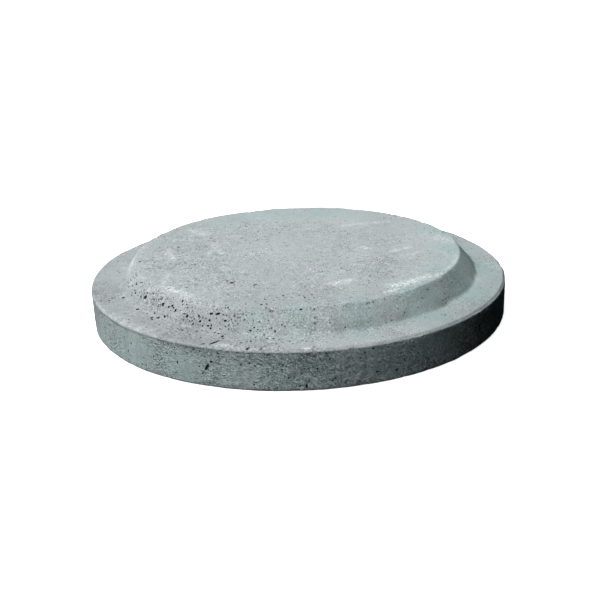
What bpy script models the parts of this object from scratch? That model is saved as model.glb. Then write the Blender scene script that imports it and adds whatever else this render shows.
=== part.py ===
"""A round precast concrete manhole cover with a raised, bevel-sided centre, and the steel cage cast into it.

The cover lies flat with its raised centre up. +Z is up, and the origin is the middle of the underside.
The casting is one body. The cage inside it is a mat of crossed bars with a hoop round the flange and a
smaller hoop in the raised centre, held up by bent legs that are tied to the mat with wire. The mat sits
on small plastic chairs, whose feet reach the underside, as they do on the real casting.
"""

import math

import bmesh
import bpy
from mathutils import Matrix, Vector

# Driving dimensions of the casting, in metres.
COVER_RADIUS = 0.350
RIM_HEIGHT = 0.064
BASE_RADIUS = 0.3492
BOSS_FOOT_RADIUS = 0.302
BOSS_FOOT_HEIGHT = 0.066
BOSS_TOP_RADIUS = 0.2745
BOSS_TOP_HEIGHT = 0.100
RIM_BEVEL = 0.0042
RIM_ROUNDING = 0.0025
FOOT_FILLET = 0.008
BOSS_ROUNDING = 0.004
BASE_ROUNDING = 0.003
TURNING_STEPS = 72
STEPS_PER_ARC = 4

# Driving dimensions of the cage.
MAT_BAR_RADIUS = 0.004
HOOP_BAR_RADIUS = 0.003
MAT_SPACING = 0.110
BARS_EACH_WAY = 5
CAGE_RADIUS = 0.322
BOTTOM_COVER = 0.020
RIM_HOOP_RADIUS = 0.310
BOSS_HOOP_RADIUS = 0.235
BOSS_HOOP_HEIGHT = 0.074
CONTACT_GAP = 0.0004
CAST_CLEARANCE = 0.0005
BAR_SIDES = 12
HOOP_STEPS = 72
HOOP_SIDES = 8

# Driving dimensions of the bent legs, of their wire ties and of the chairs.
LEG_ANGLES = (25, 65, 115, 155, 205, 245, 295, 335)
LEG_FOOT_LENGTH = 0.066
LEG_BEND_RADIUS = 0.012
LEG_TOP_MARGIN = 0.004
TIE_WIRE_RADIUS = 0.0007
TIE_RING_RADIUS = 0.0087
TIE_STEPS = 12
TIE_SIDES = 6
CHAIR_HALF_SPACING = 0.165
CHAIR_FOOT_RADIUS = 0.012
CHAIR_NECK_RADIUS = 0.0075
CHAIR_NECK_HEIGHT = 0.010
CHAIR_CUP_RADIUS = 0.0085
CHAIR_FLANGE = 0.002
CHAIR_HEIGHT = 0.026
CHAIR_LIFT = 0.0003
CHAIR_GROOVE_LENGTH = 4 * CHAIR_FOOT_RADIUS
CHAIR_STEPS = 16

MAIN_BAR_HEIGHT = BOTTOM_COVER + MAT_BAR_RADIUS
CROSS_BAR_HEIGHT = MAIN_BAR_HEIGHT + 2 * MAT_BAR_RADIUS + CONTACT_GAP
RIM_HOOP_HEIGHT = CROSS_BAR_HEIGHT + MAT_BAR_RADIUS + HOOP_BAR_RADIUS + CONTACT_GAP
LEG_RADIUS = BOSS_HOOP_RADIUS - 2 * HOOP_BAR_RADIUS - CONTACT_GAP

CLOSE_TO_AXIS = 0.00001
SHARP_ANGLE = math.radians(35)


def clear_scene():
    for obj in list(bpy.data.objects):
        bpy.data.objects.remove(obj, do_unlink=True)


def new_collection(name):
    collection = bpy.data.collections.new(name)
    bpy.context.scene.collection.children.link(collection)
    return collection


def new_material(name, colour, roughness, metallic=0.0):
    material = bpy.data.materials.new(name)
    material.use_nodes = True
    shader = material.node_tree.nodes["Principled BSDF"]
    shader.inputs["Base Color"].default_value = (*colour, 1.0)
    shader.inputs["Roughness"].default_value = roughness
    shader.inputs["Metallic"].default_value = metallic
    return material


def place(name, data, collection, material=None, matrix=None):
    """Links a new object holding this mesh or curve into a collection."""
    obj = bpy.data.objects.new(name, data)
    obj.matrix_world = matrix or Matrix.Identity(4)
    collection.objects.link(obj)
    if material:
        data.materials.append(material)
    return obj


def as_cutter(obj):
    obj.hide_render = True
    obj.display_type = "WIRE"
    return obj


def shade_round(mesh):
    mesh.shade_smooth()
    mesh.set_sharp_from_angle(angle=SHARP_ANGLE)


def rounded(corners):
    """The outline through these (radius, height, rounding) corners, each rounding drawn as an arc."""
    outline = []
    for i, (r, z, rounding) in enumerate(corners):
        corner = Vector((r, z))
        if not rounding:
            outline.append(corner)
            continue
        back = (Vector(corners[i - 1][:2]) - corner).normalized()
        ahead = (Vector(corners[i + 1][:2]) - corner).normalized()
        half = back.angle(ahead) / 2
        centre = corner + (back + ahead).normalized() * rounding / math.sin(half)
        first = corner + back * rounding / math.tan(half) - centre
        last = corner + ahead * rounding / math.tan(half) - centre
        for step in range(STEPS_PER_ARC + 1):
            share = step / STEPS_PER_ARC
            outline.append(centre + first.slerp(last, share) * rounding)
    return outline


def turned(name, corners, steps, collection, material=None, at=(0, 0)):
    """A body turned round the vertical axis at a place. The outline runs down its outer side."""
    outline = rounded(corners)
    mesh = bpy.data.meshes.new(name)
    edges = [(i, i + 1) for i in range(len(outline) - 1)]
    mesh.from_pydata([(p.x, 0, p.y) for p in outline], edges, [])
    obj = place(name, mesh, collection, material, Matrix.Translation((*at, 0)))
    screw = obj.modifiers.new("turn", "SCREW")
    screw.axis = "Z"
    screw.steps = steps
    screw.render_steps = steps
    screw.use_merge_vertices = True
    screw.merge_threshold = CLOSE_TO_AXIS
    return obj


def cut(obj, cutter):
    boolean = obj.modifiers.new("cut_" + cutter.name, "BOOLEAN")
    boolean.operation = "DIFFERENCE"
    if isinstance(cutter, bpy.types.Collection):
        boolean.operand_type = "COLLECTION"
        boolean.collection = cutter
    else:
        boolean.object = cutter


def settle(obj):
    """Turns what the object's modifiers make into its own mesh, shaded round."""
    graph = bpy.context.evaluated_depsgraph_get()
    mesh = bpy.data.meshes.new_from_object(obj.evaluated_get(graph))
    mesh.name = obj.name
    obj.modifiers.clear()
    obj.data = mesh
    shade_round(mesh)


def straight_bar(name, radius, length, centre, along, collection, material=None):
    """A round bar along X or Y."""
    shape = bmesh.new()
    bmesh.ops.create_cone(
        shape,
        cap_ends=True,
        segments=BAR_SIDES,
        radius1=radius,
        radius2=radius,
        depth=length,
    )
    mesh = bpy.data.meshes.new(name)
    shape.to_mesh(mesh)
    shape.free()
    shade_round(mesh)
    turn = Matrix.Rotation(math.pi / 2, 4, "Y" if along == "X" else "X")
    return place(name, mesh, collection, material, Matrix.Translation(centre) @ turn)


def ring(name, radii, steps, collection, material, at, turn=(0, 0, 0)):
    """A closed ring of round bar, lying flat unless it is turned. Radii are the ring's and the bar's."""
    bpy.ops.mesh.primitive_torus_add(
        major_segments=steps[0],
        minor_segments=steps[1],
        major_radius=radii[0],
        minor_radius=radii[1],
        location=at,
        rotation=turn,
    )
    obj = bpy.context.object
    obj.name = name
    obj.data.name = name
    for other in list(obj.users_collection):
        other.objects.unlink(obj)
    collection.objects.link(obj)
    shade_round(obj.data)
    if material:
        obj.data.materials.append(material)
    return obj


def leg_route(angle, growth):
    """The line of a bent leg: a foot on the mat, a bend and an upright beside the boss hoop."""
    x = LEG_RADIUS * math.cos(math.radians(angle))
    y = LEG_RADIUS * math.sin(math.radians(angle))
    outward = math.copysign(1, x)
    route = [(x + outward * (LEG_FOOT_LENGTH + growth), y, RIM_HOOP_HEIGHT)]
    for step in range(STEPS_PER_ARC + 1):
        turn = math.pi / 2 * step / STEPS_PER_ARC
        inset = LEG_BEND_RADIUS * (1 - math.sin(turn))
        rise = LEG_BEND_RADIUS * (1 - math.cos(turn))
        route.append((x + outward * inset, y, RIM_HOOP_HEIGHT + rise))
    top = BOSS_HOOP_HEIGHT + HOOP_BAR_RADIUS + LEG_TOP_MARGIN + growth
    route.append((x, y, top))
    return route


def bent_bar(name, route, radius, collection, material=None):
    """A round bar along a line of points, with closed ends, as a mesh."""
    curve = bpy.data.curves.new(name, "CURVE")
    curve.dimensions = "3D"
    curve.bevel_depth = radius
    curve.bevel_resolution = 2
    curve.use_fill_caps = True
    spline = curve.splines.new("POLY")
    spline.points.add(len(route) - 1)
    for point, co in zip(spline.points, route):
        point.co = (*co, 1)
    guide = place(name + "_line", curve, collection)
    graph = bpy.context.evaluated_depsgraph_get()
    mesh = bpy.data.meshes.new_from_object(guide.evaluated_get(graph))
    mesh.name = name
    bpy.data.objects.remove(guide)
    shape = bmesh.new()
    shape.from_mesh(mesh)
    bmesh.ops.remove_doubles(shape, verts=shape.verts, dist=CLOSE_TO_AXIS)
    bmesh.ops.recalc_face_normals(shape, faces=shape.faces)
    shape.to_mesh(mesh)
    shape.free()
    shade_round(mesh)
    return place(name, mesh, collection, material)


def mat_bars():
    """(name, length, centre, direction) of each bar of the mat, main bars below cross bars."""
    bars = []
    for along, kind, height in (
        ("X", "main_bar", MAIN_BAR_HEIGHT),
        ("Y", "cross_bar", CROSS_BAR_HEIGHT),
    ):
        for i in range(BARS_EACH_WAY):
            offset = (i - (BARS_EACH_WAY - 1) / 2) * MAT_SPACING
            length = 2 * math.sqrt(CAGE_RADIUS**2 - offset**2)
            centre = (0, offset, height) if along == "X" else (offset, 0, height)
            bars.append((f"{kind}_{i + 1}", length, centre, along))
    return bars


def make_mat(parts, pockets, steel):
    for name, length, centre, along in mat_bars():
        straight_bar(name, MAT_BAR_RADIUS, length, centre, along, parts, steel)
        pocket = straight_bar(
            "pocket_" + name,
            MAT_BAR_RADIUS + CAST_CLEARANCE,
            length + 2 * CAST_CLEARANCE,
            centre,
            along,
            pockets,
        )
        as_cutter(pocket)


def make_hoops(parts, pockets, steel):
    steps = (HOOP_STEPS, HOOP_SIDES)
    grown = HOOP_BAR_RADIUS + CAST_CLEARANCE
    for name, radius, height in (
        ("rim_hoop", RIM_HOOP_RADIUS, RIM_HOOP_HEIGHT),
        ("boss_hoop", BOSS_HOOP_RADIUS, BOSS_HOOP_HEIGHT),
    ):
        at = (0, 0, height)
        ring(name, (radius, HOOP_BAR_RADIUS), steps, parts, steel, at)
        as_cutter(ring("pocket_" + name, (radius, grown), steps, pockets, None, at))


def make_legs(parts, pockets, steel):
    for i, angle in enumerate(LEG_ANGLES):
        name = f"hoop_leg_{i + 1}"
        bent_bar(name, leg_route(angle, 0), HOOP_BAR_RADIUS, parts, steel)
        grown = HOOP_BAR_RADIUS + CAST_CLEARANCE
        route = leg_route(angle, CAST_CLEARANCE)
        as_cutter(bent_bar("pocket_" + name, route, grown, pockets))


def tie_place(angle):
    """Where a leg's foot crosses the cross bar under it, at mid-height of the two."""
    x = LEG_RADIUS * math.cos(math.radians(angle))
    y = LEG_RADIUS * math.sin(math.radians(angle))
    bar_x = math.copysign(math.ceil(abs(x) / MAT_SPACING) * MAT_SPACING, x)
    lowest = CROSS_BAR_HEIGHT - MAT_BAR_RADIUS
    highest = RIM_HOOP_HEIGHT + HOOP_BAR_RADIUS
    return (bar_x, y, (lowest + highest) / 2)


def make_ties(parts, pockets, wire):
    """A turn of wire round each leg's foot and the bar it stands on, across both at 45 degrees."""
    steps = (TIE_STEPS, TIE_SIDES)
    grown = TIE_WIRE_RADIUS + CAST_CLEARANCE
    for i, angle in enumerate(LEG_ANGLES):
        name = f"tie_wire_{i + 1}"
        at = tie_place(angle)
        turn = (math.pi / 2, 0, math.copysign(math.pi / 4, at[0] * at[1]))
        ring(name, (TIE_RING_RADIUS, TIE_WIRE_RADIUS), steps, parts, wire, at, turn)
        pocket_name = "pocket_" + name
        as_cutter(ring(pocket_name, (TIE_RING_RADIUS, grown), steps, pockets, None, at, turn))


def chair_corners(growth, bottom):
    """A chair's outline: a flat foot, a narrow neck and a cup. Its pocket has the same outline, grown."""
    top = CHAIR_HEIGHT + growth
    flange_top = CHAIR_FLANGE + growth
    return [
        (0, top, 0),
        (CHAIR_CUP_RADIUS + growth, top, 0),
        (CHAIR_CUP_RADIUS + growth, BOTTOM_COVER - CHAIR_CUP_RADIUS / 2, 0),
        (CHAIR_NECK_RADIUS + growth, CHAIR_NECK_HEIGHT, 0),
        (CHAIR_FOOT_RADIUS + growth, flange_top, 0),
        (CHAIR_FOOT_RADIUS + growth, bottom, 0),
        (0, bottom, 0),
    ]


def make_chairs(parts, pockets, tools, plastic):
    """The chairs stand under the outer and middle main bars, each cup cut to the bar it holds."""
    number = 0
    for row in (0, BARS_EACH_WAY // 2, BARS_EACH_WAY - 1):
        y = (row - (BARS_EACH_WAY - 1) / 2) * MAT_SPACING
        for x in (-CHAIR_HALF_SPACING, CHAIR_HALF_SPACING):
            number += 1
            name = f"bar_chair_{number}"
            corners = chair_corners(0, CHAIR_LIFT)
            chair = turned(name, corners, CHAIR_STEPS, parts, plastic, (x, y))
            groove = straight_bar(
                "groove_" + name,
                MAT_BAR_RADIUS + CONTACT_GAP,
                CHAIR_GROOVE_LENGTH,
                (x, y, MAIN_BAR_HEIGHT),
                "X",
                tools,
            )
            cut(chair, as_cutter(groove))
            settle(chair)
            below = chair_corners(CAST_CLEARANCE, -CHAIR_FLANGE)
            pocket_name = "pocket_" + name
            as_cutter(turned(pocket_name, below, CHAIR_STEPS, pockets, at=(x, y)))


def make_casting(parts, pockets, concrete):
    corners = [
        (0, BOSS_TOP_HEIGHT, 0),
        (BOSS_TOP_RADIUS, BOSS_TOP_HEIGHT, BOSS_ROUNDING),
        (BOSS_FOOT_RADIUS, BOSS_FOOT_HEIGHT, FOOT_FILLET),
        (COVER_RADIUS - RIM_BEVEL, RIM_HEIGHT, RIM_ROUNDING),
        (COVER_RADIUS, RIM_HEIGHT - RIM_BEVEL, RIM_ROUNDING),
        (BASE_RADIUS, 0, BASE_ROUNDING),
        (0, 0, 0),
    ]
    casting = turned("cover_casting", corners, TURNING_STEPS, parts, concrete)
    cut(casting, pockets)
    settle(casting)


def main():
    clear_scene()
    parts = new_collection("manhole_cover")
    pockets = new_collection("cage_pockets")
    tools = new_collection("chair_grooves")
    concrete = new_material("concrete", (0.42, 0.46, 0.46), 0.92)
    steel = new_material("rebar_steel", (0.16, 0.12, 0.10), 0.6, 0.8)
    wire = new_material("tie_wire_steel", (0.22, 0.20, 0.19), 0.5, 0.9)
    plastic = new_material("chair_plastic", (0.10, 0.10, 0.11), 0.55)
    make_mat(parts, pockets, steel)
    make_hoops(parts, pockets, steel)
    make_legs(parts, pockets, steel)
    make_ties(parts, pockets, wire)
    make_chairs(parts, pockets, tools, plastic)
    make_casting(parts, pockets, concrete)


main()
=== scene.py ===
"""The looks of a round precast concrete manhole cover: worn, pitted concrete on a white studio floor.

The casting's surface is a dense turned mesh that is made uneven by noise and then pitted: each air hole is
a small hollow cut into it. The bars, ties and chairs of the cage stay the CAD model's own solids.
"""

import math
import random

import bmesh
import bpy
import numpy as np
from mathutils import Matrix, Quaternion, Vector, noise


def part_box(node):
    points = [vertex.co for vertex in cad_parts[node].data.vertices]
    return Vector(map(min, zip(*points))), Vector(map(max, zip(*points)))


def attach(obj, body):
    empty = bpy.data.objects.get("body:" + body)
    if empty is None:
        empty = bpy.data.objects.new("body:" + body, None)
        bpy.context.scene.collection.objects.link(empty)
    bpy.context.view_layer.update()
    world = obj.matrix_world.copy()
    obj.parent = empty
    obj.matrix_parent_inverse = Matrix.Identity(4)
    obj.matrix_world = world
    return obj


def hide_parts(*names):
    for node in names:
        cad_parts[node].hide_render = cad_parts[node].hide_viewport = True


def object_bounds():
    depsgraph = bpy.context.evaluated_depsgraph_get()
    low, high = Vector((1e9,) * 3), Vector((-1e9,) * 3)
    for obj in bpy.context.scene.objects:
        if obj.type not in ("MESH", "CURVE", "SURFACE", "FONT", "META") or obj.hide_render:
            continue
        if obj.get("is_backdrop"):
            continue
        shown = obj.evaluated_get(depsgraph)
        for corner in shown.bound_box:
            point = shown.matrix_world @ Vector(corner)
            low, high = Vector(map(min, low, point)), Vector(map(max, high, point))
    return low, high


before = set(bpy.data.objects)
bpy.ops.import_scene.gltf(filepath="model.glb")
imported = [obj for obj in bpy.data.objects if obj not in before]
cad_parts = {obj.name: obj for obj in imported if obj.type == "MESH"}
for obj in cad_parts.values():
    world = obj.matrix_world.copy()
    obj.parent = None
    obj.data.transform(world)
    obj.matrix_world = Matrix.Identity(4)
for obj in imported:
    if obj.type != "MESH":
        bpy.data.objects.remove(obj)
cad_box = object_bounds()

# The casting's profile, in metres. Its outer size comes from the frame.
CASTING_LOW, CASTING_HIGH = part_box("cover_casting")
COVER_RADIUS = (CASTING_HIGH.x - CASTING_LOW.x) / 2
BOSS_TOP_HEIGHT = CASTING_HIGH.z
BOSS_TOP_RADIUS = 0.2745
BOSS_FOOT_RADIUS = 0.302
BOSS_FOOT_HEIGHT = 0.066
RIM_HEIGHT = 0.064
BASE_RADIUS = 0.3492
BOSS_ROUNDING = 0.004
FOOT_FILLET = 0.008
RIM_BEVEL = 0.0042
RIM_ROUNDING = 0.0025
BASE_ROUNDING = 0.003

# The mesh's spacing: columns round the rim and round the middle, and steps along the profile in metres.
COLUMNS = 480
FEWEST_COLUMNS = 30
FEWEST_ARC_STEPS = 3
TIP_RING_RADIUS = 0.004
ARC_STEP = 0.0014
UPPER_STEP = 0.0038
BEVEL_STEP = 0.0013
UNDERSIDE_STEP = 0.012

# The camera stands in front of the cover, on the -Y side, and rolls a little.
CAMERA_PLACE = Vector((0, -1.6395, 0.6192))
CAMERA_AIM = Vector((0.0017, 0, 0.0081))
CAMERA_LENS = 60.34
CAMERA_ROLL = math.radians(-2.18)


def rounded(corners):
    """The arc at each (radius, height, rounding) corner, as a list of points. A sharp corner has one."""
    arcs = []
    for i, (r, z, rounding) in enumerate(corners):
        corner = Vector((r, z))
        if not rounding:
            arcs.append([corner])
            continue
        back = (Vector(corners[i - 1][:2]) - corner).normalized()
        ahead = (Vector(corners[i + 1][:2]) - corner).normalized()
        half = back.angle(ahead) / 2
        centre = corner + (back + ahead).normalized() * rounding / math.sin(half)
        first = corner + back * rounding / math.tan(half) - centre
        last = corner + ahead * rounding / math.tan(half) - centre
        steps = max(FEWEST_ARC_STEPS, round(first.angle(last) * rounding / ARC_STEP))
        arcs.append([centre + first.slerp(last, k / steps) * rounding for k in range(steps + 1)])
    return arcs


def outline(corners, step):
    """The profile's points: the corners' arcs, and the straight runs between them, evenly divided."""
    points = []
    for arc in rounded(corners):
        if points:
            start = points[-1]
            gap = arc[0] - start
            pieces = max(1, round(gap.length / step(start)))
            points += [start + gap * k / pieces for k in range(1, pieces)]
        points += arc
    return points


def row_step(point):
    """The step of the straight run that starts at a point of the profile."""
    if point.x > COVER_RADIUS - RIM_BEVEL and point.y > RIM_HEIGHT - RIM_BEVEL:
        return BEVEL_STEP
    on_underside = point.y < BASE_ROUNDING / 2
    return UNDERSIDE_STEP if on_underside else UPPER_STEP


def columns_at(radius):
    """How many points go round at a radius: half as many each time that the radius halves."""
    count = COLUMNS
    share = 0.5
    while radius < COVER_RADIUS * share and count > FEWEST_COLUMNS:
        count //= 2
        share /= 2
    return count


def ring_of(shape, point):
    """The ring of vertices that a point of the profile sweeps."""
    count = columns_at(point.x)
    turns = (2 * math.pi * k / count for k in range(count))
    return [shape.verts.new((point.x * math.cos(a), point.x * math.sin(a), point.y)) for a in turns]


def bridge(shape, one, other):
    """Faces between two rings, of which one may have half as many points as the other."""
    if len(one) == len(other):
        for k, vert in enumerate(one):
            shape.faces.new((one[k - 1], vert, other[k], other[k - 1]))
        return
    many, few = (one, other) if len(one) > len(other) else (other, one)
    for k in range(len(few)):
        ahead = few[(k + 1) % len(few)]
        middle = many[2 * k + 1]
        last = many[(2 * k + 2) % len(many)]
        shape.faces.new((few[k], many[2 * k], middle))
        shape.faces.new((few[k], middle, ahead))
        shape.faces.new((ahead, middle, last))


def cap(shape, ring, height):
    """Closes the middle of a face with a fan of triangles."""
    tip = shape.verts.new((0, 0, height))
    for k, vert in enumerate(ring):
        shape.faces.new((ring[k - 1], vert, tip))


def turned_casting():
    """The casting as a plain turned body, from the middle of its top to the middle of its underside."""
    corners = [
        (TIP_RING_RADIUS, BOSS_TOP_HEIGHT, 0),
        (BOSS_TOP_RADIUS, BOSS_TOP_HEIGHT, BOSS_ROUNDING),
        (BOSS_FOOT_RADIUS, BOSS_FOOT_HEIGHT, FOOT_FILLET),
        (COVER_RADIUS - RIM_BEVEL, RIM_HEIGHT, RIM_ROUNDING),
        (COVER_RADIUS, RIM_HEIGHT - RIM_BEVEL, RIM_ROUNDING),
        (BASE_RADIUS, 0, BASE_ROUNDING),
        (TIP_RING_RADIUS, 0, 0),
    ]
    shape = bmesh.new()
    rings = [ring_of(shape, point) for point in outline(corners, row_step)]
    for one, other in zip(rings, rings[1:]):
        bridge(shape, one, other)
    cap(shape, rings[0], BOSS_TOP_HEIGHT)
    cap(shape, rings[-1], 0)
    bmesh.ops.recalc_face_normals(shape, faces=shape.faces)
    return shape


MILLIMETRE = 0.001

# Straight runs of the profile, each from its inner or upper end, as (radius, height) pairs.
RUNS = {
    "top": ((0, BOSS_TOP_HEIGHT), (BOSS_TOP_RADIUS, BOSS_TOP_HEIGHT)),
    "slope": ((BOSS_TOP_RADIUS, BOSS_TOP_HEIGHT), (BOSS_FOOT_RADIUS, BOSS_FOOT_HEIGHT)),
    "ledge": ((BOSS_FOOT_RADIUS, BOSS_FOOT_HEIGHT), (COVER_RADIUS, RIM_HEIGHT)),
    "side": ((COVER_RADIUS, RIM_HEIGHT), (BASE_RADIUS, 0)),
    "underside": ((BASE_RADIUS, 0), (0, 0)),
}


def surface(zone, angle, place):
    """A place on the casting, as a point and three directions: round, along the profile, and outward.

    The angle is in degrees. The place, in metres, is a height on the slope and the side, and a radius on
    the other runs.
    """
    start, end = (Vector(corner) for corner in RUNS[zone])
    axis = 1 if zone in ("slope", "side") else 0
    point = start.lerp(end, (place - start[axis]) / (end[axis] - start[axis]))
    along = (end - start).normalized()
    turn = math.radians(angle)
    radial = Vector((math.cos(turn), math.sin(turn), 0))
    up = Vector((0, 0, 1))
    round_way = Vector((-math.sin(turn), math.cos(turn), 0))
    along_way = radial * along.x + up * along.y
    outward = up * along.x - radial * along.y
    return radial * point.x + up * point.y, round_way, along_way, outward


# Unevenness of the cast faces and wear of the edges, in metres and in waves per metre.
WAVE = (0.0006, 8)
RIPPLE = (0.00028, 42)
GRIT = (0.00016, 240)
# How many times grittier the rim's side is.
SIDE_GRIT = 2.2
EDGE_INSET = 0.001
EDGE_REACH = 0.008
EDGE_WEAR = (0.0008, 38)
EDGE_CHIP = (0.0042, 62)
EDGE_WAVER = (0.0013, 17)
# Noise above this level chips the edge. The two shifts keep wear and chips from following each other.
CHIP_LEVEL = 0.24
WEAR_SHIFT = Vector((3, 0, 0))
CHIP_SHIFT = Vector((0, 7, 0))
# A lip on one side of the rim, where the edge is sharp: its height, its reach and the angle of its middle.
LIP = 0.0044
LIP_REACH = 0.0055
LIP_ANGLE = math.radians(-150)
# The share by which the casting is thinner for each metre along +X, as a slab struck off by hand is.
LEAN = 0.06
# The foot of the raised centre wavers within this reach.
FOOT_REACH = 0.013
FOOT_WAVER = (0.0022, 34)
# The fractal noises, as (dimension, lacunarity, octaves).
RIPPLE_FRACTAL = (0.7, 2.0, 3)
FOOT_FRACTAL = (0.8, 2.0, 2)
# Low lumps, listed: zone, degrees, place, reach and height in mm.
LUMPS = (
    ("ledge", -109, 343, 9, 1.1),
    ("ledge", -88, 346, 7, 1.0),
    ("ledge", -96, 341, 8, 0.6),
    ("ledge", -155, 346, 12, 0.8),
    ("ledge", -147, 345, 9, 0.7),
)
# The edges that wear: radius, height and share of the wear.
EDGES = (
    (BOSS_TOP_RADIUS - EDGE_INSET, BOSS_TOP_HEIGHT - EDGE_INSET, 1.0),
    (COVER_RADIUS - RIM_BEVEL / 2, RIM_HEIGHT - RIM_BEVEL / 2, 1.0),
    (BASE_RADIUS - EDGE_INSET, EDGE_INSET, 0.35),
)
BOSS_FOOT = Vector((BOSS_FOOT_RADIUS, BOSS_FOOT_HEIGHT))
RIM_CORNER = Vector((COVER_RADIUS, RIM_HEIGHT))


def lump_places():
    """Each lump as (point, reach, height) in metres."""
    for zone, angle, place, reach, height in LUMPS:
        point = surface(zone, angle, place * MILLIMETRE)[0]
        yield point, reach * MILLIMETRE, height * MILLIMETRE


def unevenness(place, lumps):
    """How far, in metres, the face at a place stands out (or in, below zero) from the plain turned body."""
    flat = Vector((math.hypot(place.x, place.y), place.z))
    on_side = flat.x > BASE_RADIUS - EDGE_INSET and place.z < RIM_HEIGHT - RIM_BEVEL
    out = WAVE[0] * noise.noise(place * WAVE[1])
    out += RIPPLE[0] * noise.fractal(place * RIPPLE[1], *RIPPLE_FRACTAL)
    out += GRIT[0] * (SIDE_GRIT if on_side else 1) * noise.noise(place * GRIT[1])
    for middle, reach, height in lumps:
        out += height * math.exp(-(((place - middle).length / reach) ** 2))
    share = max(wear * (1 - (flat - Vector((r, z))).length / EDGE_REACH) for r, z, wear in EDGES)
    if share > 0:
        worn = 0.5 + 0.5 * noise.noise(place * EDGE_WEAR[1] + WEAR_SHIFT)
        chip = max(0, noise.noise(place * EDGE_CHIP[1] + CHIP_SHIFT) - CHIP_LEVEL)
        out -= share * (EDGE_WEAR[0] * worn * worn + EDGE_CHIP[0] * chip)
        out += share * EDGE_WAVER[0] * noise.noise(place * EDGE_WAVER[1])
    near_rim = 1 - (flat - RIM_CORNER).length / LIP_REACH
    if near_rim > 0:
        out += near_rim * LIP * max(0, math.cos(math.atan2(place.y, place.x) - LIP_ANGLE))
    near_foot = 1 - (flat - BOSS_FOOT).length / FOOT_REACH
    if near_foot > 0:
        out += near_foot * FOOT_WAVER[0] * noise.fractal(place * FOOT_WAVER[1], *FOOT_FRACTAL)
    return out


def leaning(place):
    """The place, with its height changed as the casting's lean asks."""
    return Vector((place.x, place.y, place.z * (1 - LEAN * place.x)))


def make_uneven(shape):
    """Moves each vertex in or out by its unevenness, and then leans the shape."""
    shape.normal_update()
    lumps = list(lump_places())
    moves = [vert.normal * unevenness(vert.co, lumps) for vert in shape.verts]
    for vert, move in zip(shape.verts, moves):
        vert.co = leaning(vert.co + move)


# Air holes that stand out, listed: zone, degrees, then place, width round and width along in mm,
# and how far the hole is turned in the surface, in degrees.
LARGE_HOLES = (
    ("slope", -153, 79, 5, 4, 0),
    ("slope", -146, 82, 8, 7, 0),
    ("slope", -136, 83, 6, 7, 20),
    ("slope", -132, 85, 5, 5, 0),
    ("slope", -130, 81, 4, 6, 0),
    ("slope", -125, 78, 5, 6, 0),
    ("slope", -121, 81, 4, 4, 0),
    ("slope", -120, 75, 4, 4, 0),
    ("slope", -117, 86, 7, 4, 20),
    ("slope", -115, 87, 10, 4, 8),
    ("slope", -117, 78, 4, 4.5, 30),
    ("slope", -112, 80, 6, 4, 0),
    ("slope", -116, 69, 3.5, 3.5, 0),
    ("slope", -104, 71, 5, 3.5, 0),
    ("slope", -103, 75, 3, 3, 0),
    ("slope", -98, 75, 3, 3, 0),
    ("slope", -97, 71, 3, 4, 0),
    ("slope", -163, 85, 4, 4, 0),
    ("slope", -156, 88, 5, 4, 0),
    ("ledge", -146, 304, 6, 7, 0),
    ("ledge", -137, 308, 5, 6, 0),
    ("ledge", -135, 303, 8, 5, 25),
    ("ledge", -158, 305, 5, 7, 0),
    ("ledge", -111, 314, 5, 6, 0),
    ("ledge", -111.5, 336, 19, 4.4, 62),
    ("ledge", -113.8, 345, 9, 3.0, 16),
    ("ledge", -102.5, 346, 5, 12, -12),
    ("ledge", -99.3, 346, 3, 9, -15),
    ("top", -172, 266, 7, 5, 0),
    ("top", 170, 209, 6, 6, 0),
    ("top", -123, 190, 6, 8, 0),
    ("top", -127, 186, 4, 5, 0),
    ("top", -111, 185, 7, 5, 0),
    ("top", -102, 266, 4, 6, 0),
    ("top", 151, 175, 5, 5, 0),
    ("top", 121, 179, 6, 5, 0),
    ("top", 102, 176, 4, 5, 0),
    ("side", -112.8, 31, 4.6, 15, -32),
    ("side", -114.0, 21, 1.6, 7, -36),
    ("side", -111.6, 40, 5, 4, 0),
    ("side", -137, 37, 4, 4, 0),
    ("side", -148, 24, 3, 4, 0),
    ("side", -116, 56, 5, 4, 0),
    ("side", -124, 41, 3, 4, 0),
    ("side", -121, 30, 3, 5, 0),
    ("side", -89, 8, 4, 6, 0),
    ("side", -72, 19, 6, 4, 0),
    ("side", -67, 15, 6, 4, 0),
    ("side", -73, 56, 5, 3, 0),
)

# Scattered air holes: zone, how many, first and last degree, then first and last place in mm, and least
# and most width in mm. No hole is made where it would touch an earlier one.
SCATTERED_HOLES = (
    ("slope", 130, -165, -112, 69, 96, 1.5, 4.2),
    ("slope", 85, -173, -125, 74, 97, 1.4, 2.6),
    ("ledge", 26, -109, -97, 338, 347, 1.4, 2.6),
    ("slope", 70, -112, -97, 69, 94, 1.3, 2.6),
    ("slope", 34, -100, -66, 95, 99, 1.6, 3.6),
    ("slope", 90, -92, 195, 70, 96, 1.4, 3.0),
    ("ledge", 100, -160, -88, 305, 346, 1.6, 4.0),
    ("ledge", 90, -88, 200, 305, 340, 1.2, 2.6),
    ("top", 170, -180, -60, 60, 268, 1.6, 3.4),
    ("top", 130, -60, 180, 20, 266, 1.4, 3.0),
    ("top", 30, -103, -84, 222, 264, 1.8, 4.2),
    ("side", 150, -155, -60, 6, 56, 1.6, 3.6),
    ("side", 190, -60, 205, 6, 56, 1.4, 3.4),
    ("underside", 100, -180, 180, 12, 340, 1.4, 5.0),
)
HOLE_SEED = 11
# The least gap between two holes.
HOLE_SPACING = 0.0005
HOLE_STRETCH = (0.8, 1.3)
# A higher power makes more of the holes small.
HOLE_SIZE_POWER = 2
# A hole smaller than this is cut with a blob of fewer faces.
SMALL_HOLE = 0.0024
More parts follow.
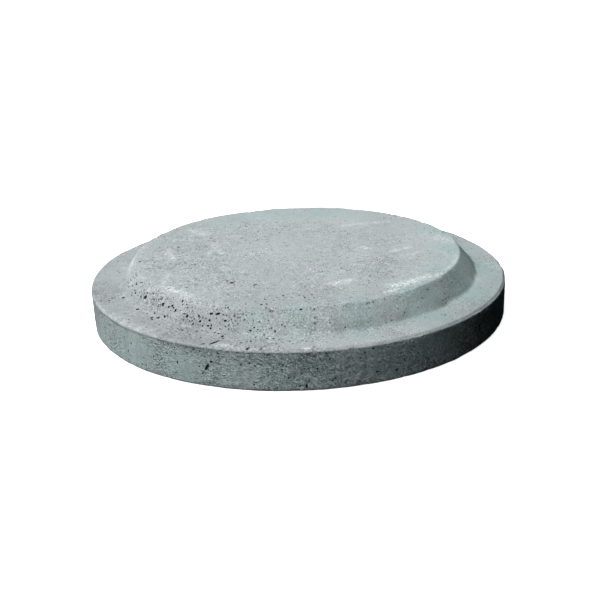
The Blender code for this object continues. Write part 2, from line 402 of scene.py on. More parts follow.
# A hole's depth as a share of its width, how much that share varies, and the waves per metre of this.
HOLE_DEPTH = 0.5
DEPTH_VARIATION = 0.3
DEPTH_WAVES = 300
# How deep a blob's middle lies, as a share of its half depth, and how uneven its shape is. The noise runs in
# waves over the blob's own ball, and its place gives each blob a shape of its own.
BLOB_SINK = 0.25
BLOB_UNEVENNESS = 0.45
BLOB_WAVES = 1.3
BLOB_VARIETY = 900


def hole_places():
    """Every air hole as (point, round way, along way, outward, width round, width along), widths in mm."""
    for zone, angle, place, across, along, turn in LARGE_HOLES:
        point, round_way, along_way, outward = surface(zone, angle, place * MILLIMETRE)
        turned = Matrix.Rotation(math.radians(turn), 3, outward)
        yield point, turned @ round_way, turned @ along_way, outward, across, along
    draw = random.Random(HOLE_SEED)
    for zone, count, first, last, near, far, least, most in SCATTERED_HOLES:
        for _ in range(count):
            angle = draw.uniform(first, last)
            place = draw.uniform(near, far)
            if zone in ("top", "underside"):
                place = math.sqrt(draw.uniform(near**2, far**2))
            size = least + (most - least) * draw.random() ** HOLE_SIZE_POWER
            stretch = draw.uniform(*HOLE_STRETCH)
            point, round_way, along_way, outward = surface(zone, angle, place * MILLIMETRE)
            yield point, round_way, along_way, outward, size * stretch, size / stretch


def add_blob(shape, point, ways, halves, fineness):
    """One uneven ellipsoid whose middle lies just under the surface."""
    made = bmesh.ops.create_icosphere(shape, subdivisions=fineness, radius=1)
    middle = point - ways[2] * halves[2] * BLOB_SINK
    for vert in made["verts"]:
        swell = 1 + BLOB_UNEVENNESS * noise.noise(vert.co * BLOB_WAVES + point * BLOB_VARIETY)
        offset = (way * half * part for way, half, part in zip(ways, halves, vert.co))
        vert.co = middle + sum(offset, Vector()) * swell


def air_holes():
    """A mesh of the blobs that the air holes are cut with, none touching another."""
    shape = bmesh.new()
    lumps = list(lump_places())
    taken = []
    for point, round_way, along_way, outward, across, along in hole_places():
        point = leaning(point + outward * unevenness(point, lumps))
        reach = max(across, along) / 2 * MILLIMETRE
        if any((point - other).length < reach + far + HOLE_SPACING for other, far in taken):
            continue
        taken.append((point, reach))
        share = HOLE_DEPTH + DEPTH_VARIATION * noise.noise(point * DEPTH_WAVES) ** 2
        depth = min(across, along) * share
        halves = [across / 2 * MILLIMETRE, along / 2 * MILLIMETRE, depth * MILLIMETRE]
        fineness = 1 if reach * 2 < SMALL_HOLE else 2
        add_blob(shape, point, (round_way, along_way, outward), halves, fineness)
    bmesh.ops.recalc_face_normals(shape, faces=shape.faces)
    return shape


FOOT_RECESS_DEPTH = 0.0022
FOOT_RECESS_GAP = 0.0004
FOOT_RECESS_SIDES = 48


def foot_recesses():
    """Shallow round recesses that show the feet of the bar chairs in the underside."""
    shape = bmesh.new()
    for node in sorted(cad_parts):
        if not node.startswith("bar_chair"):
            continue
        low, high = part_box(node)
        middle = (low + high) / 2
        middle.z = 0
        radius = (high.x - low.x) / 2 + FOOT_RECESS_GAP
        bmesh.ops.create_cone(
            shape,
            cap_ends=True,
            segments=FOOT_RECESS_SIDES,
            radius1=radius,
            radius2=radius,
            depth=2 * FOOT_RECESS_DEPTH,
            matrix=Matrix.Translation(middle),
        )
    return shape


def as_object(name, shape):
    """A new object of the scene, made of a bmesh shape, which is freed."""
    mesh = bpy.data.meshes.new(name)
    shape.to_mesh(mesh)
    shape.free()
    obj = bpy.data.objects.new(name, mesh)
    bpy.context.scene.collection.objects.link(obj)
    return obj


def cut_away(obj, shape, inner_index):
    """Cuts a shape out of an object. The new faces take this material index."""
    cutter = as_object("cutter", shape)
    for polygon in cutter.data.polygons:
        polygon.material_index = inner_index
    boolean = obj.modifiers.new("cut", "BOOLEAN")
    boolean.operation = "DIFFERENCE"
    boolean.object = cutter
    graph = bpy.context.evaluated_depsgraph_get()
    mesh = bpy.data.meshes.new_from_object(obj.evaluated_get(graph))
    obj.modifiers.clear()
    obj.data = mesh
    bpy.data.objects.remove(cutter)


SHARP_ANGLE = math.radians(42)

# Strokes of chalky wear, and one of painted highlight, listed: zone, then degrees and place of the one end
# and of the other, half width and strength. Places and widths are in mm.
RUBBED_AND_HIGHLIGHT_STROKES = (
    ("slope", 171, 96, 187, 92, 8, 1.0),
    ("slope", 188, 88, 200, 84, 10, 0.35),
    ("top", 175, 226, 187, 210, 7, 0.8),
    ("top", -154, 232, -141, 268, 5, 0.7),
    ("top", -139, 265, -128, 268, 6, 1.0),
    ("top", 144, 237, 147, 201, 9, 0.6),
    ("top", 182, 151, 159, 141, 5, 0.7),
    ("top", 160, 159, 183, 127, 5, 0.6),
    ("top", -73, 188, -64, 184, 9, 0.9),
    ("top", -60, 261, -55, 258, 6, 0.9),
    ("top", -54, 246, -45, 250, 11, 1.0),
    ("top", -44, 250, -38, 256, 8, 0.9),
    ("top", -39, 262, -33, 268, 4, 0.7),
    ("top", -29, 268, -12, 270, 4, 0.8),
    ("top", 2, 112, -4, 120, 5, 0.9),
    ("top", -80, 111, -78, 118, 4, 0.6),
    ("top", -9, 161, -2, 189, 5, 0.6),
    ("top", -17, 181, -9, 208, 5, 0.55),
    ("top", 57, 162, 42, 227, 6, 0.55),
    ("top", 9, 252, 4, 266, 12, 0.4),
    ("ledge", -110, 343, -107, 341, 5, 0.9),
    ("ledge", -105, 345, -98, 344, 5, 0.35),
    ("ledge", -89, 346, -88, 345, 3, 0.8),
    # Painted highlight along the rim's rounded edge, where it faces the key light.
    ("ledge", -161, 346, -131, 343, 6, 0.55),
)
STROKE_DABS = 10
# The rim's side is marked from this far inside its lower edge, and from this far under its upper edge.
SIDE_MARGIN = 0.004

# Stains and smooth areas, listed: zone, degrees, place in mm, reach in mm, strength.
PINKISH = (
    ("ledge", -178, 328, 38, 1.0),
    ("ledge", -162, 330, 34, 0.8),
    ("top", 178, 245, 30, 0.9),
    ("top", -170, 130, 80, 0.4),
    ("top", -60, 90, 90, 0.5),
    ("top", -80, 210, 60, 0.5),
    ("top", -150, 215, 60, 0.5),
    ("ledge", 22, 330, 36, 0.8),
    ("ledge", -42, 328, 16, 0.7),
    ("top", 75, 268, 22, 0.9),
    ("top", 88, 268, 22, 0.9),
    ("top", 101, 268, 22, 0.9),
    ("top", 114, 268, 22, 0.9),
    ("ledge", 100, 330, 60, 0.5),
)
# Partly a real green tint, and on the slope's front the painted green-blue cast of shade.
GREENISH_AND_SHADE_CAST = (
    ("top", 60, 250, 50, 0.55),
    ("top", 80, 255, 55, 1.0),
    ("top", 100, 255, 55, 1.0),
    ("top", 120, 250, 55, 0.7),
    ("slope", -174, 88, 24, 0.7),
    ("slope", -161, 80, 28, 0.8),
    ("slope", -103, 84, 24, 0.9),
    ("slope", -90, 84, 30, 0.8),
    ("slope", -72, 82, 45, 1.0),
    ("slope", -50, 82, 50, 1.7),
    ("slope", -28, 82, 50, 1.9),
    ("slope", -5, 82, 50, 1.9),
    ("slope", 20, 82, 50, 1.5),
    ("ledge", -10, 330, 60, 0.7),
    ("ledge", -50, 325, 60, 0.5),
)
SMOOTH = (
    ("top", 60, 235, 70, 1.0),
    ("top", 90, 240, 70, 1.0),
    ("top", 120, 240, 60, 0.9),
    ("top", 30, 235, 60, 1.0),
    ("top", 0, 240, 55, 0.9),
    ("top", -30, 235, 45, 0.7),
    ("top", -50, 235, 45, 0.5),
    ("ledge", 15, 325, 60, 0.9),
    ("ledge", -20, 325, 70, 0.9),
    ("ledge", -50, 325, 60, 0.9),
    ("ledge", -76, 325, 44, 0.6),
    ("slope", -20, 80, 60, 0.6),
    ("slope", -50, 80, 60, 0.4),
    ("slope", -75, 80, 50, 0.6),
    ("side", -155, 30, 60, 1.0),
    ("side", -135, 30, 60, 0.9),
    ("side", -118, 25, 45, 0.9),
    ("side", -103, 30, 34, 0.7),
    ("side", 50, 30, 110, 0.5),
    ("side", 95, 30, 110, 0.5),
    ("side", 140, 30, 110, 0.5),
    ("side", 180, 30, 110, 0.6),
)
# Lighter and darker strokes, given as the strokes of wear are: some are tone, some are painted light and
# painted shade. The last number is added to the level.
TONE_AND_PAINTED_LIGHT_STROKES = (
    ("ledge", -174, 332, -160, 334, 34, -0.10),
    ("ledge", -168, 342, -158, 342, 12, -0.08),
    ("ledge", -134, 326, -104, 333, 40, -0.06),
    ("ledge", -125, 338, -112, 338, 16, -0.10),
    ("ledge", -32, 338, -10, 325, 24, -0.09),
    ("slope", -157, 84, -157, 84, 30, 0.08),
    # The next two are painted shade low on the slope, near its foot.
    ("slope", -122, 72, -116, 80, 14, -0.10),
    ("slope", -78, 70, -58, 72, 14, -0.13),
    ("slope", -48, 92, -35, 92, 12, -0.05),
    ("slope", -72, 82, -26, 80, 16, 0.08),
    # Painted light on the slope's front right, as the fill would give.
    ("slope", -20, 80, -8, 82, 20, 0.22),
    ("slope", -104, 80, -86, 80, 14, 0.09),
    ("side", -118, 52, -80, 54, 9, -0.12),
    # Painted highlight along the rim's rounded edge, which faces the key light.
    ("ledge", -176, 346, -122, 346, 7, 0.16),
    ("side", -172, 30, -160, 30, 20, -0.09),
    ("side", -60, 30, -55, 30, 26, 0.06),
    ("side", -135, 40, -106, 38, 14, 0.09),
    ("top", -110, 255, -65, 252, 32, -0.08),
    ("top", -75, 200, -20, 195, 32, -0.07),
    ("top", -60, 262, -45, 262, 16, -0.05),
    ("top", 135, 110, 160, 95, 45, 0.08),
    ("top", -165, 50, -95, 60, 40, 0.06),
    ("side", -118, 12, -110, 12, 16, -0.08),
    # Painted light low on the side, as bounce from the floor would give.
    ("side", -104, 6, -78, 6, 16, 0.07),
    # Painted shade on the side, where the key light falls away.
    ("side", -46, 30, -38, 30, 40, -0.28),
)
# The level over the casting's height: painted shade, darker round the foot of the raised centre and over the
# ledge.
PAINTED_SHADE_HEIGHTS = (0.058, 0.062, 0.067, 0.072, 0.085, 0.099)
PAINTED_SHADE_LEVELS = (1.0, 0.91, 0.89, 0.86, 0.94, 1.0)

# Areas full of small dark pores, as strokes.
SPECKLED = (
    ("top", 170, 228, 178, 190, 30, 0.9),
    ("top", 176, 165, 168, 125, 26, 0.9),
    ("top", -167, 205, -135, 125, 24, 0.8),
    ("top", -176, 250, -158, 248, 20, 0.9),
    ("top", 122, 190, 138, 90, 26, 0.7),
    ("top", 92, 150, 55, 130, 34, 0.7),
    ("top", 33, 90, -30, 60, 30, 0.5),
    ("top", 160, 60, -120, 60, 30, 0.45),
    ("top", -120, 60, -60, 80, 26, 0.4),
    ("top", -96, 240, -80, 185, 22, 1.0),
    ("top", -92, 118, -96, 95, 10, 1.0),
    ("top", -32, 130, -21, 196, 24, 0.8),
    ("top", -52, 138, -48, 205, 24, 0.6),
    ("top", -72, 195, -66, 190, 14, 1.0),
    ("top", -122, 190, -110, 186, 14, 0.7),
    ("slope", -172, 86, -101, 80, 20, 1.3),
    ("slope", -94, 97, -66, 97, 5, 1.0),
    ("ledge", -135, 312, -86, 318, 18, 0.6),
    ("ledge", -108, 344, -84, 344, 8, 0.9),
    ("side", -112, 44, -64, 36, 26, 0.35),
)


def bell(places, spot):
    """A soft round spot's strength at each place."""
    zone, angle, place, reach, strength = spot
    middle = np.array(surface(zone, angle, place * MILLIMETRE)[0])
    distance = np.linalg.norm(places - middle, axis=1)
    return strength * np.exp(-((distance / (reach * MILLIMETRE)) ** 2))


def strongest(places, spots):
    """The strength of the strongest spot at each place."""
    return np.max([bell(places, spot) for spot in spots], axis=0)


def dabs(strokes):
    """The spots that a list of strokes is made of."""
    for zone, angle, place, last_angle, last_place, reach, strength in strokes:
        for share in np.linspace(0, 1, STROKE_DABS):
            turn = angle + (last_angle - angle) * share
            yield zone, turn, place + (last_place - place) * share, reach, strength


def level_heights(places):
    """The places' heights as they would be without the lean."""
    return places[:, 2] / (1 - LEAN * places[:, 0])


def shading(places):
    """The level of the concrete's grey at each place: painted shade by height, and strokes of tone, painted
    light and painted shade.
    """
    level = np.interp(level_heights(places), PAINTED_SHADE_HEIGHTS, PAINTED_SHADE_LEVELS)
    for *ends, change in TONE_AND_PAINTED_LIGHT_STROKES:
        level += change * strongest(places, dabs([(*ends, 1.0)]))
    return level


def hollow_of(mesh):
    """1 at each vertex inside an air hole, and 0 on the open faces and the holes' lips."""
    sizes = np.empty(len(mesh.polygons), dtype=int)
    inner = np.empty(len(mesh.polygons), dtype=int)
    corners = np.empty(len(mesh.loops), dtype=int)
    mesh.polygons.foreach_get("loop_total", sizes)
    mesh.polygons.foreach_get("material_index", inner)
    mesh.loops.foreach_get("vertex_index", corners)
    hollow = np.ones(len(mesh.vertices))
    hollow[corners[np.repeat(inner, sizes) == 0]] = 0
    return hollow


def mark(obj, name, values):
    """Stores one number for each vertex, which the material reads by name."""
    attribute = obj.data.attributes.new(name, "FLOAT", "POINT")
    attribute.data.foreach_set("value", values.astype(np.float32))


def mark_faces_of_casting(obj):
    """Stores what the material needs to know of each place, such as its stains and its painted light and
    shade.
    """
    places = np.empty(len(obj.data.vertices) * 3)
    obj.data.vertices.foreach_get("co", places)
    places = places.reshape(-1, 3)
    radius = np.hypot(places[:, 0], places[:, 1])
    low = level_heights(places) < RIM_HEIGHT - SIDE_MARGIN
    on_side = (radius > BASE_RADIUS - SIDE_MARGIN) & low
    mark(obj, "rubbed_and_highlight", strongest(places, dabs(RUBBED_AND_HIGHLIGHT_STROKES)))
    mark(obj, "pinkish", strongest(places, PINKISH))
    mark(obj, "greenish_and_shade_cast", strongest(places, GREENISH_AND_SHADE_CAST))
    # The shade mark holds tone, painted light and painted shade.
    mark(obj, "shade", shading(places))
    mark(obj, "speckled", strongest(places, dabs(SPECKLED)))
    mark(obj, "smooth", strongest(places, SMOOTH))
    mark(obj, "side", np.where(on_side, 1.0, 0.0))
    mark(obj, "hollow", hollow_of(obj.data))
    # The index has told which faces are inside the holes. From here on every face is concrete.
    obj.data.polygons.foreach_set("material_index", np.zeros(len(obj.data.polygons), dtype=int))


class Graph:
    """A material under construction: each method adds one node and returns its output."""

    def __init__(self, name):
        self.material = bpy.data.materials.new(name)
        self.material.use_nodes = True
        self.tree = self.material.node_tree
        self.shader = self.tree.nodes["Principled BSDF"]
        self.place = self.add("TexCoord").outputs["Object"]

    def add(self, kind, **settings):
        node = self.tree.nodes.new("ShaderNode" + kind)
        for key, value in settings.items():
            setattr(node, key, value)
        return node

    def feed(self, socket, value):
        """Links an output to the socket, or sets the socket to a constant."""
        if isinstance(value, bpy.types.NodeSocket):
            self.tree.links.new(value, socket)
        else:
            socket.default_value = value

    def noise(self, scale, detail=3, roughness=0.55, distortion=0, place=None):
        node = self.add("TexNoise")
        self.feed(node.inputs["Vector"], place or self.place)
        node.inputs["Scale"].default_value = scale
        node.inputs["Detail"].default_value = detail
        node.inputs["Roughness"].default_value = roughness
        node.inputs["Distortion"].default_value = distortion
        return node.outputs["Fac"]

    def cells(self, scale, output="Distance"):
        node = self.add("TexVoronoi")
        self.feed(node.inputs["Vector"], self.place)
        node.inputs["Scale"].default_value = scale
        return node.outputs[output]

    def math(self, operation, one, other=0.5):
        node = self.add("Math", operation=operation)
        self.feed(node.inputs[0], one)
        self.feed(node.inputs[1], other)
        return node.outputs[0]

    def stretch(self, value, start, end, low=0.0, high=1.0):
        """The value, as it runs from start to end, turned smoothly into low to high."""
        node = self.add("MapRange", interpolation_type="SMOOTHSTEP")
        for key, number in enumerate((value, start, end, low, high)):
            self.feed(node.inputs[key], number)
        return node.outputs[0]

    def mix(self, share, one, other, blend="MIX"):
        node = self.add("Mix", data_type="RGBA", blend_type=blend)
        self.feed(node.inputs["Factor"], share)
        self.feed(node.inputs["A"], one)
        self.feed(node.inputs["B"], other)
        return node.outputs["Result"]

    def attribute(self, name):
        """A number that the mesh stores for each vertex."""
        return self.add("Attribute", attribute_name=name).outputs["Fac"]

    def separate(self, vector):
        """The vector's three parts."""
        return self.feed_one("SeparateXYZ", vector).outputs

    def feed_one(self, kind, value, **settings):
        """A new node whose first input takes the value."""
        node = self.add(kind, **settings)
        self.feed(node.inputs[0], value)
        return node

    def bump(self, height, distance, strength=1.0, under=None):
        node = self.add("Bump")
        self.feed(node.inputs["Height"], height)
        node.inputs["Distance"].default_value = distance
        self.feed(node.inputs["Strength"], strength)
        if under:
            self.feed(node.inputs["Normal"], under)
        return node.outputs["Normal"]


def grey(level, red=0.915, blue=1.02):
    """A cool concrete grey, whose green part is the level."""
    return (level * red, level, level * blue, 1.0)


NEUTRAL_TONE = grey(0.425, 0.932, 1.027)
# Green-blue grey: a real tint in places, and the painted cast of shade on the slope and the rim's side.
GREEN_AND_SHADE_CAST_TONE = grey(0.420, 0.80, 1.005)
PINK_TONE = grey(0.410, 0.955, 1.06)
CHALK_AND_HIGHLIGHT_TONE = (0.78, 0.81, 0.81, 1.0)
PORE_TONE = grey(0.06)
# Inside the air holes the grey falls to this share: painted shade, with dirt.
HOLE_SHADE_AND_DIRT_LEVEL = 0.14

# The concrete's noises, as (waves per metre, detail, roughness).
PATCHINESS = (13, 3, 0.55)
BLOTCHES = (9, 4, 0.55)
PINK_STAINS = (14, 4, 0.6)
MOULD_STREAKS = (85, 3, 0.6)
MOTTLES = (70, 5, 0.7)
GRAINS = (420, 2, 0.6)
SCRATCHES = (330, 2, 0.6)
PORE_PATCHES = (24, 3, 0.6)
TORN_CHALK = (230, 3, 0.75)
UNDULATION = (170, 4, 0.7)
TORN_DISTORTION = 0.5

# The coarseness scales the fine texture: its value in smooth areas, and its swing from patch to patch.
SMOOTH_COARSENESS = 0.3
PATCH_SWING = 0.3

# How far each noise swings the level of the grey. Where two are given, the second is for the rim's side.
BLOTCHING = 0.06
MOTTLING = (0.11, 0.06)
GRAINING = (0.26, 0.28)
SCRATCHING = 0.27
STREAKING = 0.06
SIDE_BRIGHTENING = 0.19

# Noise is drawn out along a direction by flattening it to this share of its waves.
STREAK_FLATTENING = 0.12
SCRATCH_ANGLE = math.radians(48)
SCRATCH_FLATTENING = 0.35

# Specks: cells per metre, the share of the cells that hold one, and how strongly the specks cover what is
# under them. A speck fades from its core to its rim, in widths of a cell.
FLECK_CELLS = 270
FLECK_SHARE = 0.13
FLECK_COVER = 0.45
COARSE_PORE_CELLS = 230
FINE_PORE_CELLS = 380
FEWEST_PORES = 0.04
MOST_PORES = 0.42
COARSE_PORE_COVER = (0.8, 0.35)
FINE_PORE_COVER = 0.6
SPECK_RIM = 0.44
SPECK_CORE = 0.24

# Relief: heights in metres, and its strength, of which the second is for the rim's side.
UNDULATION_HEIGHT = 0.0024
SCRATCH_HEIGHT = 0.0031
GRAIN_HEIGHT = 0.0017
PORE_DEPTH = 0.8
RELIEF = (0.6, 1.2)


def specks(graph, cells, share):
    """Round specks, in this share of the cells."""
    distance = graph.cells(cells)
    chance = graph.separate(graph.cells(cells, "Color"))[0]
    dot = graph.stretch(distance, SPECK_RIM, SPECK_CORE)
    return graph.math("MULTIPLY", dot, graph.math("LESS_THAN", chance, share))


def swing(graph, value, reach, amount):
    """A factor of 1 give or take an amount, as the value runs over its reach round a half."""
    low = graph.math("SUBTRACT", 1.0, amount)
    high = graph.math("ADD", 1.0, amount)
    return graph.stretch(value, 0.5 - reach, 0.5 + reach, low, high)


def by_side(graph, side, numbers):
    """The first number off the rim's side, and the second on it."""
    return graph.stretch(side, 0.0, 1.0, *numbers)


def form_streaks(graph, side):
    """The side's own level, with faint upright streaks, as the mould leaves them."""
    flattened = graph.feed_one("VectorMath", graph.place, operation="MULTIPLY")
    flattened.inputs[1].default_value = (1, 1, STREAK_FLATTENING)
    streaks = graph.noise(*MOULD_STREAKS, place=flattened.outputs[0])
    streaks = swing(graph, streaks, reach=0.13, amount=graph.math("MULTIPLY", side, STREAKING))
    level = graph.math("ADD", 1.0, graph.math("MULTIPLY", side, SIDE_BRIGHTENING))
    return graph.math("MULTIPLY", streaks, level)


def slanting_scratches(graph):
    """Noise that is drawn out along a slanting line, seen from the front."""
    turned = graph.add("VectorRotate", rotation_type="Y_AXIS")
    graph.feed(turned.inputs["Vector"], graph.place)
    turned.inputs["Angle"].default_value = SCRATCH_ANGLE
    flattened = graph.feed_one("VectorMath", turned.outputs[0], operation="MULTIPLY")
    flattened.inputs[1].default_value = (1, 1, SCRATCH_FLATTENING)
    return graph.noise(*SCRATCHES, place=flattened.outputs[0])


def coarseness_of(graph):
    """How rough the concrete is from place to place: 1 give or take, and less where it is smooth."""
    coarseness = graph.stretch(graph.attribute("smooth"), 0.0, 1.0, 1.0, SMOOTH_COARSENESS)
    patches = swing(graph, graph.noise(*PATCHINESS), reach=0.14, amount=PATCH_SWING)
    return graph.math("MULTIPLY", coarseness, patches)


def stained_tone(graph, side, blotch):
    """The concrete's hue: neutral, green-blue or pinkish. The green-blue is partly a real tint and partly
    the painted cast of shade.
    """
    green_and_cast_share = graph.stretch(blotch, start=0.30, end=0.58, low=0.45, high=1.0)
    # The rim's side always takes the green-blue tone: painted cast of shade.
    green_and_shade_cast_places = graph.math("MAXIMUM", graph.attribute("greenish_and_shade_cast"), side)
    tone = graph.mix(graph.math("MULTIPLY", green_and_cast_share, green_and_shade_cast_places), NEUTRAL_TONE, GREEN_AND_SHADE_CAST_TONE)
    pink_share = graph.stretch(graph.noise(*PINK_STAINS), start=0.42, end=0.62)
    pink_share = graph.math("MULTIPLY", pink_share, graph.attribute("pinkish"))
    return graph.mix(pink_share, tone, PINK_TONE)


def pores_of(graph, side):
    """Small dark pores, coarse and fine, which crowd in patches of the speckled areas."""
    patches = graph.stretch(graph.noise(*PORE_PATCHES), start=0.42, end=0.60)
    speckled = graph.math("MULTIPLY", graph.attribute("speckled"), patches)
    share = graph.stretch(speckled, 0.0, 1.0, FEWEST_PORES, MOST_PORES)
    coarse = specks(graph, COARSE_PORE_CELLS, share)
    coarse = graph.math("MULTIPLY", coarse, by_side(graph, side, COARSE_PORE_COVER))
    fine = graph.math("MULTIPLY", specks(graph, FINE_PORE_CELLS, share), FINE_PORE_COVER)
    return graph.math("MAXIMUM", coarse, fine)


def concrete_material():
    """Grey concrete: stains, mottling, sand grains, dark pores and chalky wear, and painted light and shade:
    a highlight along the rim, a green-blue cast on steep faces, and shade round the raised centre's foot
    and, with dirt, in the air holes.
    """
    graph = Graph("cast_concrete")
    side = graph.attribute("side")
    coarseness = coarseness_of(graph)
    blotch = graph.noise(*BLOTCHES)
    mottle = graph.noise(*MOTTLES)
    grain = graph.noise(*GRAINS)
    scratch = slanting_scratches(graph)
    scratched = graph.math("MULTIPLY", side, coarseness)
    mottling = graph.math("MULTIPLY", coarseness, by_side(graph, side, MOTTLING))
    graining = graph.math("MULTIPLY", coarseness, by_side(graph, side, GRAINING))
    scratching = graph.math("MULTIPLY", scratched, SCRATCHING)

    # The shade mark brings painted light and painted shade into the level.
    level = graph.math("MULTIPLY", graph.attribute("shade"), form_streaks(graph, side))
    level = graph.math("MULTIPLY", level, swing(graph, blotch, reach=0.25, amount=BLOTCHING))
    level = graph.math("MULTIPLY", level, swing(graph, mottle, reach=0.18, amount=mottling))
    level = graph.math("MULTIPLY", level, swing(graph, grain, reach=0.16, amount=graining))
    level = graph.math("MULTIPLY", level, swing(graph, scratch, reach=0.16, amount=scratching))
    tone = graph.mix(1.0, stained_tone(graph, side, blotch), level, "MULTIPLY")

    flecks = graph.math("MULTIPLY", specks(graph, FLECK_CELLS, FLECK_SHARE), coarseness)
    tone = graph.mix(graph.math("MULTIPLY", flecks, FLECK_COVER), tone, CHALK_AND_HIGHLIGHT_TONE)
    pores = pores_of(graph, side)
    tone = graph.mix(pores, tone, PORE_TONE)
    # Chalky wear, and the painted highlight along the rim, in chalk tone.
    torn = graph.stretch(graph.noise(*TORN_CHALK, TORN_DISTORTION), start=0.44, end=0.56)
    tone = graph.mix(graph.math("MULTIPLY", torn, graph.attribute("rubbed_and_highlight")), tone, CHALK_AND_HIGHLIGHT_TONE)
    # Painted shade, with dirt, darkens the inside of the air holes.
    depth = graph.stretch(graph.attribute("hollow"), 0.0, 1.0, 1.0, HOLE_SHADE_AND_DIRT_LEVEL)
    tone = graph.mix(1.0, tone, depth, "MULTIPLY")
    graph.feed(graph.shader.inputs["Base Color"], tone)

    roughness = graph.stretch(mottle, start=0.3, end=0.7, low=0.82, high=0.97)
    graph.feed(graph.shader.inputs["Roughness"], roughness)
    graph.shader.inputs["Specular IOR Level"].default_value = 0.28

    relief = graph.math("MULTIPLY", coarseness, by_side(graph, side, RELIEF))
    normal = graph.bump(graph.noise(*UNDULATION), UNDULATION_HEIGHT, relief)
    normal = graph.bump(scratch, SCRATCH_HEIGHT, scratched, normal)
    fine = graph.math("SUBTRACT", grain, graph.math("MULTIPLY", pores, PORE_DEPTH))
    normal = graph.bump(fine, GRAIN_HEIGHT, relief, normal)
    graph.feed(graph.shader.inputs["Normal"], normal)
    return graph.material


BARE_STEEL = (0.20, 0.19, 0.19, 1)
BAR_RUST = (0.17, 0.065, 0.03, 1)
BARE_WIRE = (0.30, 0.29, 0.28, 1)
WIRE_RUST = (0.20, 0.09, 0.045, 1)
BARE_PLASTIC = (0.045, 0.045, 0.05, 1)
CEMENT_FILM = grey(0.36)
CEMENT_DUST = grey(0.34)


def bar_material(name, bare, rust, roughness):
    """Bar or wire with a film of rust and cement."""
    graph = Graph(name)
    patches = graph.stretch(graph.noise(60, 4, 0.65), start=0.40, end=0.60)
    tone = graph.mix(patches, bare, rust)
    cement = graph.stretch(graph.noise(130, 3), start=0.58, end=0.70)
    tone = graph.mix(cement, tone, CEMENT_FILM)
    graph.feed(graph.shader.inputs["Base Color"], tone)
    metal = graph.stretch(patches, 0.0, 1.0, low=0.85, high=0.15)
    graph.feed(graph.shader.inputs["Metallic"], metal)
    dullness = graph.stretch(patches, 0.0, 1.0, low=roughness, high=0.85)
    graph.feed(graph.shader.inputs["Roughness"], dullness)
    normal = graph.bump(graph.noise(900, 3), distance=0.0002, strength=0.6)
    graph.feed(graph.shader.inputs["Normal"], normal)
    return graph.material


def chair_material():
    """Dark moulded plastic with a haze of cement dust."""
    graph = Graph("chair_plastic_dusty")
    dust = graph.stretch(graph.noise(240, 4, 0.7), start=0.45, end=0.75, low=0.05, high=0.6)
    tone = graph.mix(dust, BARE_PLASTIC, CEMENT_DUST)
    graph.feed(graph.shader.inputs["Base Color"], tone)
    graph.feed(graph.shader.inputs["Roughness"], graph.stretch(dust, 0.0, 1.0, low=0.42, high=0.85))
    normal = graph.bump(graph.noise(1500, 2), distance=0.0001, strength=0.5)
    graph.feed(graph.shader.inputs["Normal"], normal)
    return graph.material


def finish_cage():
    """Gives the cage's CAD solids their materials."""
    rebar = bar_material("rebar_rusty", BARE_STEEL, BAR_RUST, roughness=0.45)
    wire = bar_material("tie_wire_rusty", BARE_WIRE, WIRE_RUST, roughness=0.35)
    plastic = chair_material()
    kinds = {"bar_chair": plastic, "tie_wire": wire}
    for node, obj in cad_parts.items():
        if node != "cover_casting":
            obj.data.materials.clear()
            obj.data.materials.append(kinds.get(node.rsplit("_", 1)[0], rebar))


def make_casting():
    """The visible casting with its recesses, air holes and material, in place of the CAD casting."""
    shape = turned_casting()
    make_uneven(shape)
    casting = as_object("concrete_casting", shape)
    casting.data.materials.append(concrete_material())
    cut_away(casting, foot_recesses(), 0)
    cut_away(casting, air_holes(), 1)
    mark_faces_of_casting(casting)
    casting.data.shade_smooth()
    casting.data.set_sharp_from_angle(angle=SHARP_ANGLE)
    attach(casting, "root")
    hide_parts("cover_casting")


def make_camera():
    """The camera at its place, turned to its aim and then rolled."""
    data = bpy.data.cameras.new("camera")
    data.lens = CAMERA_LENS
    camera = bpy.data.objects.new("camera", data)
    look = (CAMERA_AIM - CAMERA_PLACE).to_track_quat("-Z", "Y")
    roll = Quaternion((0, 0, 1), CAMERA_ROLL)
    camera.matrix_world = Matrix.Translation(CAMERA_PLACE) @ (look @ roll).to_matrix().to_4x4()
    bpy.context.scene.collection.objects.link(camera)
    bpy.context.scene.camera = camera


def make_sun(name, azimuth, elevation, spread, strength, colour):
    """A very broad soft light. Its azimuth, 0 being +X, its elevation and its spread are in degrees."""
    data = bpy.data.lights.new(name, "SUN")
    data.angle = math.radians(spread)
    data.energy = strength
    data.color = colour
    light = bpy.data.objects.new(name, data)
    a, e = math.radians(azimuth), math.radians(elevation)
    towards = Vector((math.cos(a) * math.cos(e), math.sin(a) * math.cos(e), math.sin(e)))
    light.matrix_world = towards.to_track_quat("Z", "Y").to_matrix().to_4x4()
    bpy.context.scene.collection.objects.link(light)


def stage_material():
    """A pale matt floor that glows, a little more up the curved wall, so that all of it is white."""
    graph = Graph("studio_white")
    graph.shader.inputs["Base Color"].default_value = (0.90, 0.90, 0.90, 1)
    graph.shader.inputs["Roughness"].default_value = 1.0
    graph.shader.inputs["Specular IOR Level"].default_value = 0.0
    graph.shader.inputs["Emission Color"].default_value = (1, 1, 1, 1)
    height = graph.separate(graph.place)[2]
    glow = graph.stretch(height, start=0.0, end=0.8, low=0.92, high=1.0)
    graph.feed(graph.shader.inputs["Emission Strength"], glow)
    return graph.material


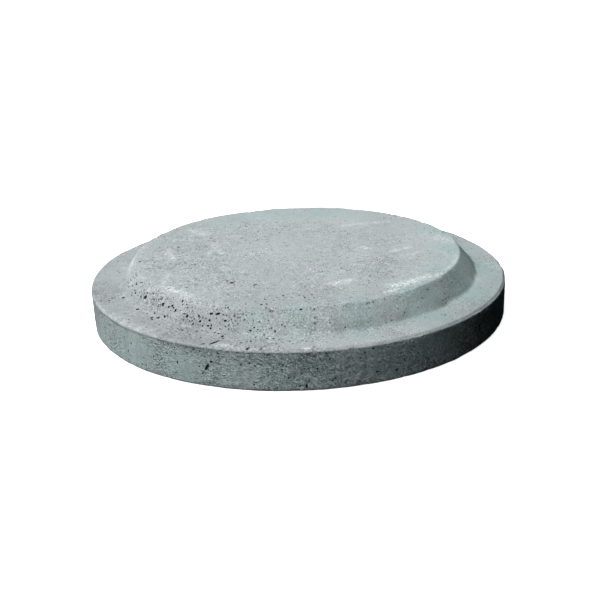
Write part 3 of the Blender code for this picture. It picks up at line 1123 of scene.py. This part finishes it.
STAGE_FLOOR_RADIUS = 4.0
STAGE_COVE_RADIUS = 2.0
STAGE_HEIGHT = 7.0
STAGE_ARC_STEPS = 12
STAGE_SIDES = 96
SEAM_REACH = 0.0001
# The floor lies just under the cover's uneven underside, so that the two don't cut each other.
FLOOR_DROP = 0.0008


def make_stage():
    """A round floor that curves up into a wall all round. It throws no light or shadow on the cover."""
    outline_points = [(0.0, 0.0), (STAGE_FLOOR_RADIUS, 0.0)]
    for k in range(1, STAGE_ARC_STEPS + 1):
        turn = math.pi / 2 * k / STAGE_ARC_STEPS
        r = STAGE_FLOOR_RADIUS + STAGE_COVE_RADIUS * math.sin(turn)
        outline_points.append((r, STAGE_COVE_RADIUS * (1 - math.cos(turn))))
    outline_points.append((STAGE_FLOOR_RADIUS + STAGE_COVE_RADIUS, STAGE_HEIGHT))
    shape = bmesh.new()
    verts = [shape.verts.new((r, 0, z - FLOOR_DROP)) for r, z in outline_points]
    edges = [shape.edges.new(pair) for pair in zip(verts, verts[1:])]
    bmesh.ops.spin(
        shape,
        geom=verts + edges,
        axis=(0, 0, 1),
        cent=(0, 0, 0),
        steps=STAGE_SIDES,
        angle=2 * math.pi,
        use_duplicate=False,
    )
    bmesh.ops.remove_doubles(shape, verts=shape.verts, dist=SEAM_REACH)
    stage = as_object("studio_floor", shape)
    stage.data.shade_smooth()
    stage.data.materials.append(stage_material())
    stage.visible_diffuse = False
    stage.visible_glossy = False
    stage.visible_shadow = False
    stage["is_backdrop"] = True


def make_light():
    """A broad key light from the front left, a weak fill from behind, and a faint glow all round."""
    make_sun("key", azimuth=209, elevation=57, spread=43, strength=4.32, colour=(1.0, 1.0, 1.0))
    make_sun("fill", azimuth=80, elevation=25, spread=40, strength=0.5, colour=(0.80, 1.0, 1.02))
    world = bpy.data.worlds.new("studio")
    world.use_nodes = True
    background = world.node_tree.nodes["Background"]
    background.inputs["Color"].default_value = (0.62, 0.84, 0.92, 1)
    background.inputs["Strength"].default_value = 0.008
    bpy.context.scene.world = world
    bpy.context.scene.view_settings.view_transform = "Standard"


make_camera()
make_casting()
finish_cage()
make_stage()
make_light()
[[list(corner) for corner in box] for box in (cad_box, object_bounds())]
